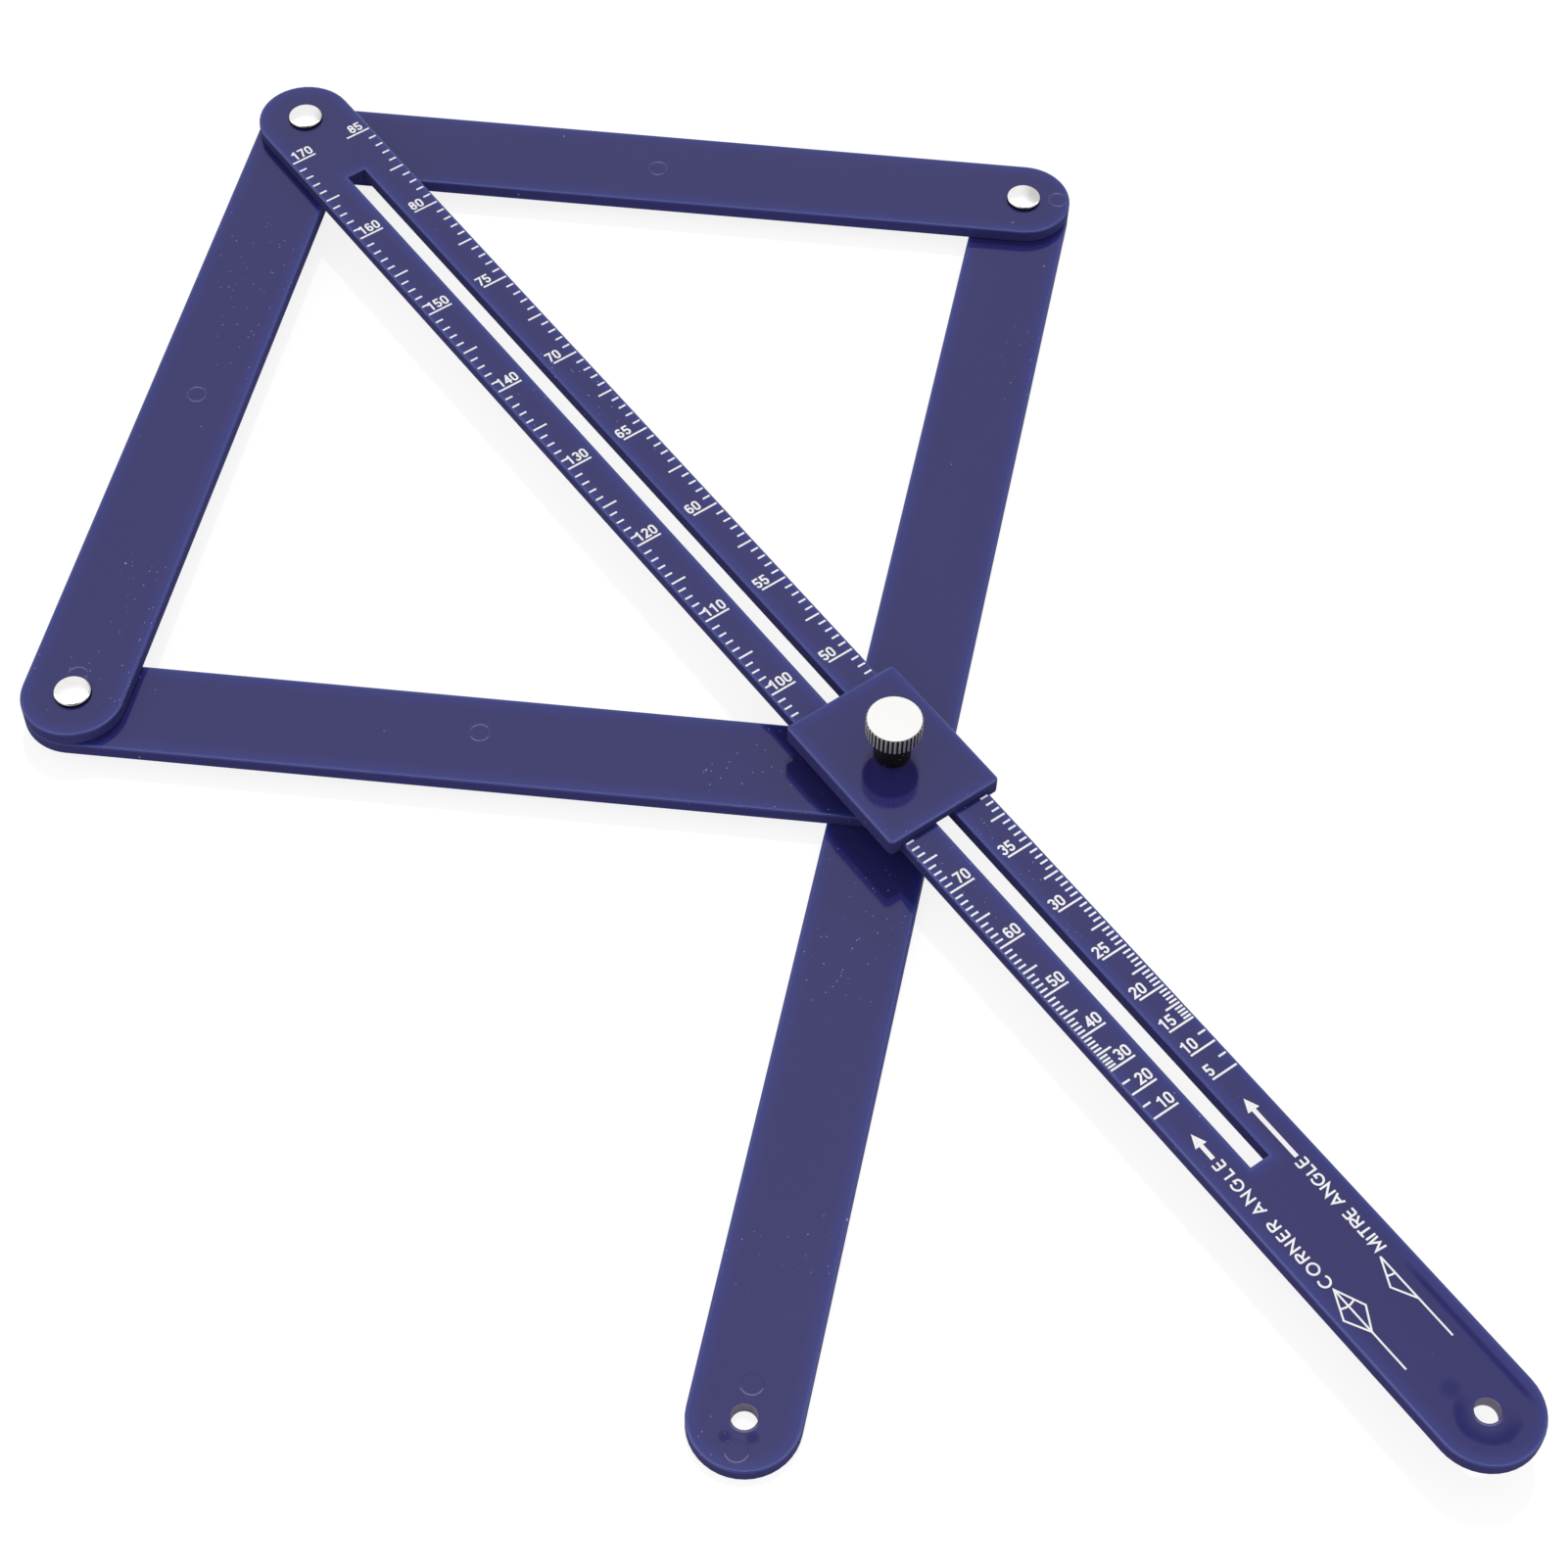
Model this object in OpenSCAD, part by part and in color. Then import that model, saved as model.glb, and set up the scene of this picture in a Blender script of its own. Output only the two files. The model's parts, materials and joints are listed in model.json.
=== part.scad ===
// Four-bar angle finder: a rhombus of flat bars, a slotted ruler that bisects it,
// and a clamp slider with a knurled thumb screw where the rhombus closes.
// The ruler lies along X with its handle at +X. Z = 0 is the bench under the lowest bar.

/* [Pose] */
// Angle between the two legs at rest, in degrees
corner_angle = 96; // [30:1:160]
// Half of the angle between the legs when the tool is folded shut
shut_half_angle = 6; // [6:0.5:12]
// Half of the angle between the legs when the tool is opened wide
wide_half_angle = 85; // [80:0.5:85]

/* [Bars] */
// Length of one side of the rhombus, rivet to rivet
side_l = 160; // [140:1:240]
// Width of the legs and arms
bar_w = 20.5; // [16:0.5:26]
// Thickness of the legs and arms
bar_t = 3; // [2.6:0.1:5]
// Rounding of the long edges of every moulded piece
edge_r = 0.4; // [0.2:0.05:0.6]
// Running gap between bars that slide over each other
stack_gap = 0.1; // [0.05:0.05:0.3]
// Length of the long arm from the slider to its hanging hole
long_reach = 134.5; // [60:0.5:150]
// Diameter of the hanging hole in the long arm
arm_hole_d = 4.8; // [3:0.1:7]

/* [Ruler] */
// Width of the ruler
ruler_w = 20.5; // [16:0.5:26]
// Thickness of the ruler
ruler_t = 3; // [2.4:0.1:5]
// Slot left over towards the apex when the tool is opened wide
slot_spare_near = 4.7; // [1:0.1:5]
// Slot left over towards the handle when the tool is folded shut
slot_spare_far = 1.1; // [1:0.1:5]
// Gap between the thumb screw and each side of the slot
slot_gap = 0.15; // [0.1:0.05:0.5]
// Length of the handle from the end of the slot to its hanging hole
handle_l = 58.5; // [40:0.5:90]
// Diameter of the hanging hole in the ruler
ruler_hole_d = 4.7; // [3:0.1:7]

/* [Rivets] */
// Diameter of the visible rivet heads
rivet_head_d = 7.4; // [6:0.1:9]
// Height of the visible rivet heads
rivet_head_h = 1.35; // [1.35:0.05:2]
// Height of the upright side of the visible rivet heads
rivet_side_h = 0.35; // [0.2:0.05:0.6]
// Rounding of the rim of the visible rivet heads
rivet_rim_r = 0.6; // [0.2:0.05:0.7]
// Diameter of the rivet tube that the bars turn on
rivet_d = 4.2; // [3.4:0.1:5]
// Diameter of the post that is pressed into the tube
rivet_post_d = 2.8; // [2:0.1:3]
// Diameter of the lower rivet head
tail_head_d = 7; // [5.8:0.1:9]
// Thickness of the lower rivet head
tail_head_h = 0.9; // [0.6:0.05:1.2]

/* [Slider] */
// Length of the slider along the ruler
slider_l = 33.6; // [26:0.2:44]
// Thickness of the slider's top plate
slider_plate_t = 1.8; // [1.2:0.1:3]
// Thickness of the slider's side walls
slider_wall = 2.6; // [1.2:0.1:3]
// How far the side walls reach down beside the ruler
slider_drop = 1.9; // [1:0.1:2.2]
// Rounding of the slider's corners, seen from above
slider_corner_r = 1; // [0.8:0.1:1.1]
// Gap between the slider and the ruler on every side
slide_gap = 0.15; // [0.1:0.05:0.3]

/* [Thumb screw] */
// Thread diameter
screw_d = 4; // [3:0.1:4.4]
// Diameter of the knurled head
knob_d = 11; // [9:0.1:16]
// Height of the knurled head
knob_h = 4; // [2.5:0.1:8]
// Number of knurl ridges
knurl_count = 38; // [24:1:60]
// Depth of the knurl grooves
knurl_depth = 0.2; // [0.2:0.05:0.5]
// Bevel at the top and bottom of the knurled head
knob_bevel = 0.25; // [0.2:0.05:0.6]
// Diameter of the plain collar under the head
collar_d = 7.2; // [5.5:0.1:8]
// Height of the plain collar
collar_h = 7.1; // [3:0.1:10]

/* [Nut and bush] */
// Width of the nut across its flats
nut_af = 7; // [6.6:0.1:8]
// Thickness of the nut
nut_h = 2; // [1.6:0.1:2]
// Bevel of the nut's corners
nut_bevel = 0.3; // [0.1:0.05:0.4]
// Gap between the nut and the walls of its pocket
nut_gap = 0.1; // [0.05:0.05:0.2]
// Diameter of the spacer bush
bush_d = 12; // [9:0.5:14]

/* [Fits] */
// Gap on the radius between a turning pin and its bore
run_gap = 0.05; // [0.03:0.01:0.1]
// Gap on the radius of the pressed rivet post
press_gap = 0.02; // [0.01:0.01:0.03]
// Gap on the radius between a lower rivet head and its counterbore
tail_gap = 0.3; // [0.15:0.05:0.5]
// Depth by which a lower rivet head, the nut and the screw's end stay inside the bar
recess = 0.1; // [0.05:0.05:0.2]

/* [Hidden] */
$fn = 64;

// The bars lie in levels, one over the other
level_step = bar_t + stack_gap;
z_long = 0;
z_low = level_step;
z_left = 2 * level_step;
z_ruler = 3 * level_step;
ruler_top = z_ruler + ruler_t;

// The slot takes the thumb screw over the whole travel, and the handle follows it
slot_w = screw_d + 2 * slot_gap;
slot_start = 2 * side_l * cos(wide_half_angle) - slot_w / 2 - slot_spare_near;
slot_end = 2 * side_l * cos(shut_half_angle) + slot_w / 2 + slot_spare_far;
ruler_reach = slot_end + handle_l;

// The origin is the middle of the tool, so the apex is on its -X side
half_angle = corner_angle / 2;
apex_end_r = max(bar_w, ruler_w) / 2;
apex_x = -(ruler_reach + ruler_w / 2 - apex_end_r) / 2;
apex = [apex_x, 0];
right_pivot = apex + side_l * [cos(half_angle), sin(half_angle)];
left_pivot = apex + side_l * [cos(half_angle), -sin(half_angle)];
slide_pivot = apex + 2 * side_l * [cos(half_angle), 0];

// Each lower rivet head turns in a counterbore, inside the underside of its bar
counterbore_d = tail_head_d + 2 * tail_gap;
counterbore_h = tail_head_h + recess + stack_gap;
pivot_bore_d = rivet_d + 2 * run_gap;

// The dome of a rivet head is an arc that runs smoothly into its rounded rim
rim_x = rivet_head_d / 2 - rivet_rim_r;
rim_drop = rivet_head_h - rivet_side_h;
dome_r = (rim_x ^ 2 + rim_drop ^ 2 - rivet_rim_r ^ 2) / (2 * (rim_drop - rivet_rim_r));
dome_x = rim_x * dome_r / (dome_r - rivet_rim_r);

// The slider's inside takes the ruler, and its plate lies over it
slider_inner_w = ruler_w + 2 * slide_gap;
slider_w = slider_inner_w + 2 * slider_wall;
slider_floor = ruler_top + slide_gap;
slider_top = slider_floor + slider_plate_t;
slider_bottom = ruler_top - slider_drop;

screw_bore_d = screw_d + 2 * run_gap;
pocket_h = nut_h + recess;
pocket_af = nut_af + 2 * nut_gap;

plastic = [0.2, 0.2, 0.42];
nickel = [0.85, 0.85, 0.86];
steel = [0.62, 0.63, 0.65];

module at(point, z = 0) {
    translate([point[0], point[1], z]) children();
}

// Half of a moulded piece's cross-section, from its middle to its rounded edge
module half_section(half_w, t) {
    square([half_w - edge_r, t]);
    translate([0, edge_r]) square([half_w, t - 2 * edge_r]);
    for (y = [edge_r, t - edge_r])
        translate([half_w - edge_r, y]) circle(edge_r);
}

module full_section(half_w, t) {
    for (side = [0, 1])
        mirror([side, 0, 0]) half_section(half_w, t);
}

// A flat bar along +X with round ends, from its first hole's centre to its last
module blank_bar(length, w, t) {
    for (x = [0, length])
        translate([x, 0, 0]) rotate_extrude() half_section(w / 2, t);
    rotate([90, 0, 90]) linear_extrude(length) full_section(w / 2, t);
}

module hole(x, d) {
    translate([x, 0, -1]) cylinder(d = d, h = bar_t + ruler_t + 2);
}

// The round recess for a lower rivet head, cut up from a bar's underside
module counterbore(x) {
    translate([x, 0, -1]) cylinder(d = counterbore_d, h = counterbore_h + 1);
}

// A hexagon with two flats square to Y
module hexagon(af, h) {
    rotate(30) cylinder(d = af / cos(30), h = h, $fn = 6);
}

// A disc with both its rims bevelled
module bevelled_disc(r, h, bevel) {
    rotate_extrude() polygon([
        [0, 0],
        [r - bevel, 0],
        [r, bevel],
        [r, h - bevel],
        [r - bevel, h],
        [0, h]
    ]);
}

module long_arm() {
    color(plastic) at(right_pivot, z_long) rotate(-half_angle) difference() {
        blank_bar(side_l + long_reach, bar_w, bar_t);
        hole(0, pivot_bore_d);
        counterbore(0);
        hole(side_l, screw_bore_d);
        translate([side_l, 0, -1]) hexagon(pocket_af, pocket_h + 1);
        hole(side_l + long_reach, arm_hole_d);
    }
}

module short_link() {
    color(plastic) at(left_pivot, z_low) rotate(half_angle) difference() {
        blank_bar(side_l, bar_w, bar_t);
        hole(0, pivot_bore_d);
        counterbore(0);
        hole(side_l, screw_bore_d);
    }
}

module right_leg() {
    color(plastic) at(apex, z_low) rotate(half_angle) difference() {
        blank_bar(side_l, bar_w, bar_t);
        hole(0, pivot_bore_d);
        counterbore(0);
        hole(side_l, pivot_bore_d);
    }
}

module left_leg() {
    color(plastic) at(apex, z_left) rotate(-half_angle) difference() {
        blank_bar(side_l, bar_w, bar_t);
        hole(0, pivot_bore_d);
        hole(side_l, pivot_bore_d);
    }
}

module ruler() {
    color(plastic) at(apex, z_ruler) difference() {
        blank_bar(ruler_reach, ruler_w, ruler_t);
        hole(0, pivot_bore_d);
        translate([slot_start, -slot_w / 2, -1]) cube([slot_end - slot_start, slot_w, ruler_t + 2]);
        hole(ruler_reach, ruler_hole_d);
    }
}

// Upper half of a rivet: an upright-sided shallow dome with a post that goes down into the tube
module rivet_post(point, bar_top, bar_bottom) {
    post_bottom = bar_bottom + recess + tail_head_h;
    color(nickel) at(point) {
        translate([0, 0, bar_top]) rotate_extrude() {
            square([rivet_head_d / 2, rivet_side_h]);
            intersection() {
                translate([rim_x, rivet_side_h]) circle(rivet_rim_r);
                square([rivet_head_d / 2, rivet_head_h]);
            }
            intersection() {
                translate([0, rivet_head_h - dome_r]) circle(dome_r);
                square([dome_x, rivet_head_h]);
            }
        }
        translate([0, 0, post_bottom]) cylinder(d = rivet_post_d, h = bar_top - post_bottom + rivet_side_h);
    }
}

// Lower half of a rivet: the tube that the bars turn on, with a flat head inside the lowest bar
module rivet_tube(point, bar_top, bar_bottom) {
    head_bottom = bar_bottom + recess;
    color(nickel) at(point) difference() {
        union() {
            translate([0, 0, head_bottom]) cylinder(d = tail_head_d, h = tail_head_h);
            translate([0, 0, head_bottom]) cylinder(d = rivet_d, h = bar_top - head_bottom);
        }
        translate([0, 0, head_bottom + tail_head_h])
            cylinder(d = rivet_post_d + 2 * press_gap, h = bar_top - head_bottom);
    }
}

module apex_rivet_post() {
    rivet_post(apex, ruler_top, z_low);
}

module apex_rivet_tube() {
    rivet_tube(apex, ruler_top, z_low);
}

module right_rivet_post() {
    rivet_post(right_pivot, z_low + bar_t, z_long);
}

module right_rivet_tube() {
    rivet_tube(right_pivot, z_low + bar_t, z_long);
}

module left_rivet_post() {
    rivet_post(left_pivot, z_left + bar_t, z_low);
}

module left_rivet_tube() {
    rivet_tube(left_pivot, z_left + bar_t, z_low);
}

// The slider before its channel is cut: a block with round corners and rounded edges
module slider_block(h) {
    inner_l = slider_l - 2 * slider_corner_r;
    inner_w = slider_w - 2 * slider_corner_r;
    for (x = [-inner_l / 2, inner_l / 2], y = [-inner_w / 2, inner_w / 2])
        translate([x, y, 0]) rotate_extrude() half_section(slider_corner_r, h);
    rotate([90, 0, 90]) linear_extrude(inner_l, center = true) full_section(slider_w / 2, h);
    rotate([90, 0, 0]) linear_extrude(inner_w, center = true) full_section(slider_l / 2, h);
}

module slider() {
    color(plastic) at(slide_pivot) difference() {
        translate([0, 0, slider_bottom]) slider_block(slider_top - slider_bottom);
        translate([-slider_l, -slider_inner_w / 2, slider_bottom - 1])
            cube([2 * slider_l, slider_inner_w, slider_floor - slider_bottom + 1]);
        translate([0, 0, slider_floor - 1]) cylinder(d = screw_bore_d, h = slider_plate_t + 2);
    }
}

// The knurled head seen from above: one flat ridge and one flat groove in each step
module knurl_outline() {
    step = 360 / knurl_count;
    ridge_r = knob_d / 2;
    groove_r = ridge_r - knurl_depth;
    tooth = [[0.15, ridge_r], [0.35, ridge_r], [0.65, groove_r], [0.85, groove_r]];
    polygon([
        for (i = [0 : knurl_count - 1], corner = tooth)
            let (turn = (i + corner[0]) * step)
                corner[1] * [cos(turn), sin(turn)]
    ]);
}

module thumb_screw() {
    shank_bottom = z_long + recess;
    color(nickel) at(slide_pivot) {
        translate([0, 0, shank_bottom]) cylinder(d = screw_d, h = slider_top - shank_bottom + collar_h / 2);
        translate([0, 0, slider_top]) cylinder(d = collar_d, h = collar_h + knob_h / 2);
        translate([0, 0, slider_top + collar_h]) intersection() {
            linear_extrude(knob_h) knurl_outline();
            bevelled_disc(knob_d / 2, knob_h, knob_bevel);
        }
    }
}

module clamp_nut() {
    color(steel) at(slide_pivot, z_long + recess) rotate(-half_angle) difference() {
        intersection() {
            hexagon(nut_af, nut_h);
            bevelled_disc(nut_af / 2 / cos(30), nut_h, nut_bevel);
        }
        translate([0, 0, -1]) cylinder(d = screw_bore_d, h = nut_h + 2);
    }
}

// Sits on the short link and keeps it one bar below the ruler
module spacer_bush() {
    color(steel) at(slide_pivot, z_low + bar_t) difference() {
        cylinder(d = bush_d, h = level_step);
        translate([0, 0, -1]) cylinder(d = screw_bore_d, h = level_step + 2);
    }
}

long_arm();
short_link();
right_leg();
left_leg();
ruler();
apex_rivet_post();
apex_rivet_tube();
right_rivet_post();
right_rivet_tube();
left_rivet_post();
left_rivet_tube();
slider();
thumb_screw();
clamp_nut();
spacer_bush();
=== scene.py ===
import functools
import json
import math
import bmesh
import bpy
from mathutils import Matrix, Vector


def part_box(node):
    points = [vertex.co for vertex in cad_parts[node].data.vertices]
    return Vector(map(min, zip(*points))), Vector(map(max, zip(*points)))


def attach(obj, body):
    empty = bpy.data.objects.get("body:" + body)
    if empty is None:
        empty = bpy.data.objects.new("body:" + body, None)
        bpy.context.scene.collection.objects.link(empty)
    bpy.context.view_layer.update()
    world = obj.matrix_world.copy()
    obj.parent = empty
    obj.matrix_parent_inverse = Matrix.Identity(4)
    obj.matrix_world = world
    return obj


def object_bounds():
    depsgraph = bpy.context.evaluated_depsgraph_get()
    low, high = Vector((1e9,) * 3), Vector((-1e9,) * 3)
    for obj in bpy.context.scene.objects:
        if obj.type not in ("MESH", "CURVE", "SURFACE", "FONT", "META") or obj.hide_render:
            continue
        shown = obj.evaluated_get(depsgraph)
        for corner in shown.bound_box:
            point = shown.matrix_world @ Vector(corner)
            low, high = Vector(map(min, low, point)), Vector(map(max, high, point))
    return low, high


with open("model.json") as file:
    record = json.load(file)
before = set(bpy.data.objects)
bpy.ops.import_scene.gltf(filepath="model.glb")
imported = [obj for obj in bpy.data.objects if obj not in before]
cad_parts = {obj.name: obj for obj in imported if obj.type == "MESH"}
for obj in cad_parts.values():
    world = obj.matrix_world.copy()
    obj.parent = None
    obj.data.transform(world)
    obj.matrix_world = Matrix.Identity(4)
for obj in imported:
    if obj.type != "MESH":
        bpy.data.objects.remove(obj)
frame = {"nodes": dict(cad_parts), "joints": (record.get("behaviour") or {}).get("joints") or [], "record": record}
cad_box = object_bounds()

# Camera: a short telephoto lens above the left of the handle, looking down along the ruler,
# so that the three rivets, the scale and both hanging holes fall where the photograph has them.
camera = bpy.data.objects.new("camera", bpy.data.cameras.new("camera"))
camera.location = (0.29695, -0.2375, 0.52023)
camera.rotation_euler = [math.radians(turn) for turn in (34.896, -1.040, 53.699)]
camera.data.sensor_width = 36
camera.data.lens = 74.53
bpy.context.scene.collection.objects.link(camera)
bpy.context.scene.camera = camera
bpy.context.scene.view_settings.view_transform = "Standard"

# Bench: a plain sheet of white paper under the tool. One lamp behind the tool throws its shadows towards
# the camera, and the even white surround fills them in.
bench_half = 3.0
bench_corners = [(-1, -1), (1, -1), (1, 1), (-1, 1)]
bench_points = [(x * bench_half, y * bench_half, cad_box[0].z) for x, y in bench_corners]
bench_mesh = bpy.data.meshes.new("bench")
bench_mesh.from_pydata(bench_points, [], [range(4)])
bench = bpy.data.objects.new("bench", bench_mesh)
bpy.context.scene.collection.objects.link(bench)


class Wire:
    """A shader value on its way to a socket. Arithmetic on it adds the Math nodes that work it out."""

    def __init__(self, tree, socket=None):
        self.tree = tree
        self.socket = socket

    def node(self, kind, settings, values, output=0):
        """Adds one node: its settings first, then its sockets' values or links. Gives one of its outputs."""
        made = self.tree.nodes.new("ShaderNode" + kind)
        for name, setting in settings.items():
            setattr(made, name, setting)
        for name, value in values.items():
            if isinstance(value, Wire):
                self.tree.links.new(value.socket, made.inputs[name])
            else:
                made.inputs[name].default_value = value
        return Wire(self.tree, made.outputs[output] if made.outputs else None)

    def math(self, operation, *others):
        return self.node("Math", {"operation": operation}, dict(enumerate((self,) + others)))

    def __add__(self, other):
        return self.math("ADD", other)

    def __sub__(self, other):
        return self.math("SUBTRACT", other)

    def __rsub__(self, other):
        return self.node("Math", {"operation": "SUBTRACT"}, {0: other, 1: self})

    def __mul__(self, other):
        return self.math("MULTIPLY", other)

    __radd__ = __add__
    __rmul__ = __mul__

    def __abs__(self):
        return self.math("ABSOLUTE")

    def most(self, *others):
        """The largest of this value and the others."""
        return functools.reduce(lambda one, other: one.math("MAXIMUM", other), others, self)

    def hypot(self, other):
        """The long side of a right triangle whose short sides are this value and the other."""
        return (self * self + other * other).math("SQRT")

    def rise(self, start, end):
        """0 up to start and 1 from end on, with a smooth rise between them; start may be the larger."""
        settings = {"interpolation_type": "SMOOTHSTEP"}
        low, high, first, last = (start, end, 0, 1) if start < end else (end, start, 1, 0)
        values = {"Value": self, "From Min": low, "From Max": high, "To Min": first, "To Max": last}
        return self.node("MapRange", settings, values)

    def axis(self, name):
        """One axis of a vector."""
        return self.node("SeparateXYZ", {}, {"Vector": self}, name)

    def mix(self, colour, other, blend="MIX"):
        """A colour that turns into the other, or is blended with it, as this value goes from 0 to 1."""
        return self.node("MixRGB", {"blend_type": blend}, {"Fac": self, "Color1": colour, "Color2": other})


def blank(made):
    """Empties a new material or world, and gives a wire that adds nodes to it."""
    made.use_nodes = True
    made.node_tree.nodes.clear()
    return Wire(made.node_tree)


def ray_is(wire, *kinds):
    """1 for rays of the given kinds, and 0 for the others."""
    first, *others = [wire.node("LightPath", {}, {}, "Is %s Ray" % kind) for kind in kinds]
    return first.most(*others)


white = (1, 1, 1, 1)
paper_tone = 0.8
paper_grain_depth = 0.02
paper_shadow_grey = (0.22, 0.22, 0.22, 1)
paper_glow = 0.84
bench_paper = bpy.data.materials.new("bench_paper")
paper = blank(bench_paper)
paper_grain = paper.node("TexNoise", {}, {"Scale": 900, "Detail": 3}) * paper_grain_depth + paper_tone
paper_plain = paper.node("BsdfDiffuse", {}, {"Color": paper_grain})
paper_shade = paper.node("BsdfDiffuse", {}, {"Color": paper_shadow_grey})
paper_white = paper.node("Emission", {}, {"Color": white, "Strength": paper_glow})
paper_seen = paper.node("AddShader", {}, {0: paper_shade, 1: paper_white})
paper_mix = paper.node("MixShader", {}, {
    "Fac": ray_is(paper, "Camera", "Glossy", "Transmission"), 1: paper_plain, 2: paper_seen})
paper.node("OutputMaterial", {}, {"Surface": paper_mix})
bench_mesh.materials.append(bench_paper)

lamp = bpy.data.objects.new("lamp", bpy.data.lights.new("lamp", "SUN"))
lamp.data.energy = 0.95
lamp.data.angle = math.radians(3)
lamp_from = Vector((-0.324, 0.284, 0.902))
lamp.rotation_euler = lamp_from.to_track_quat("Z", "Y").to_euler()
lamp.visible_glossy = False
bpy.context.scene.collection.objects.link(lamp)

# Surround: an even white room. A shiny surface sees it as a light tent, white behind the tool, a little
# brighter higher up and dimmer to the right, with an arch of bright panels over the tool from side to
# side, and a dark opening for the camera.
tent_back = (-0.79, 0.61, 0)
tent_right = (0.61, 0.79, 0)
tent_opening = (0.46, -0.37, 0.81)
arch_back_edge = (0.36, 0.28)
arch_front_edge = (0.02, 0.1)
arch_top = (0.78, 0.92)
high_part = (0.7, 0.9)
right_part = (0.05, 0.25)
opening_part = (0.88, 0.95)
arch_light = 1
arch_top_light = 2
low_loss = 0.1
height_gain = 0.26
right_loss = 0.3
opening_loss = 0.9
room_fill = 0.73
surround = bpy.data.worlds.new("surround")
sky = blank(surround)
sky_way = sky.node("TexCoord", {}, {}, "Generated")
sky_back, sky_right, sky_front = [
    sky.node("VectorMath", {"operation": "DOT_PRODUCT"}, {0: sky_way, 1: way}, "Value")
    for way in (tent_back, tent_right, tent_opening)]
sky_up = sky_way.axis("Z")
sky_panels = arch_light + arch_top_light * sky_up.rise(*arch_top)
sky_arch = sky_back.rise(*arch_back_edge) * sky_back.rise(*arch_front_edge) * sky_panels
sky_height = height_gain * sky_up.rise(*high_part) - low_loss
sky_losses = right_loss * sky_right.rise(*right_part) + opening_loss * sky_front.rise(*opening_part)
sky_seen = 1 + (sky_arch + sky_height - sky_losses) * ray_is(sky, "Glossy")
sky_fill = sky.node("Background", {}, {"Color": white, "Strength": room_fill})
sky_white = sky.node("Background", {}, {"Color": white, "Strength": sky_seen})
sky_mix = sky.node("MixShader", {}, {
    "Fac": ray_is(sky, "Camera", "Glossy", "Transmission"), 1: sky_fill, 2: sky_white})
sky.node("OutputWorld", {}, {"Surface": sky_mix})
bpy.context.scene.world = surround

# Legs and arms: four flat bars injection moulded in navy plastic with a semi-gloss skin and softened edges.
# A narrow band along the edges is painted a clearer blue than the faces, a painted glow that stands in
# for light getting into the plastic at its edges.
mm = 0.001
pivot = {joint["name"]: Vector(joint["pos_m"]) for joint in frame["joints"]}
apex = pivot["corner_opening"]
right_pivot = pivot["long_arm_swing"]
left_pivot = pivot["short_link_swing"]
side_length = (right_pivot - apex).to_2d().length
half_angle = math.atan2(right_pivot.y - apex.y, right_pivot.x - apex.x)
bar_half_width = apex.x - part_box("right_leg")[0].x
mounts = {mount["name"]: mount for mount in frame["record"]["mounts"]}
arm_hole = Vector(mounts["arm_hang_hole"]["pos_m"])
long_length = (arm_hole - right_pivot).to_2d().length

face_navy = (0.0265, 0.0240, 0.140, 1)
flow_shade = (0.72, 0.72, 0.8, 1)
painted_edge_glow = (0.0255, 0.0315, 0.20, 1)
painted_rim_glow = (0.044, 0.056, 0.243, 1)
dark_reflection_and_spot_tint = (0.02, 0.02, 0.8, 1)
bore_painted_light = (0.30, 0.27, 0.36, 1)
dust_grey = (0.45, 0.45, 0.55, 1)
edge_band = (3.9 * mm, 0.5 * mm)
edge_rim = (1.0 * mm, 0.3 * mm)
edge_waver = 0.8 * mm
crown_band = 2.8 * mm
crown_height = 0.035 * mm
warp_height = 0.05 * mm
skin_height = 0.0006 * mm


def specks(point):
    """1 on scattered specks of dust and in patches of fine scuffs, and 0 elsewhere."""
    dust_cell = point.node("TexVoronoi", {}, {"Vector": point, "Scale": 160})
    dust_pick = point.node("TexNoise", {}, {"Vector": point, "Scale": 130})
    scuff_cell = point.node("TexVoronoi", {}, {"Vector": point, "Scale": 650})
    scuff_pick = point.node("TexNoise", {}, {"Vector": point, "Scale": 28, "Detail": 2})
    dust = dust_cell.rise(0.05, 0.025) * dust_pick.rise(0.49, 0.55)
    return dust.most(scuff_cell.rise(0.12, 0.06) * scuff_pick.rise(0.55, 0.65))


def at_bore(point, hole):
    """1 at the bore of a mount's hole, and 0 elsewhere."""
    radius = hole["dims"]["r_mm"] * mm
    x, y = hole["pos_m"][:2]
    away = (point.axis("X") - x).hypot(point.axis("Y") - y)
    return away.rise(radius + 0.3 * mm, radius + 0.1 * mm)


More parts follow.
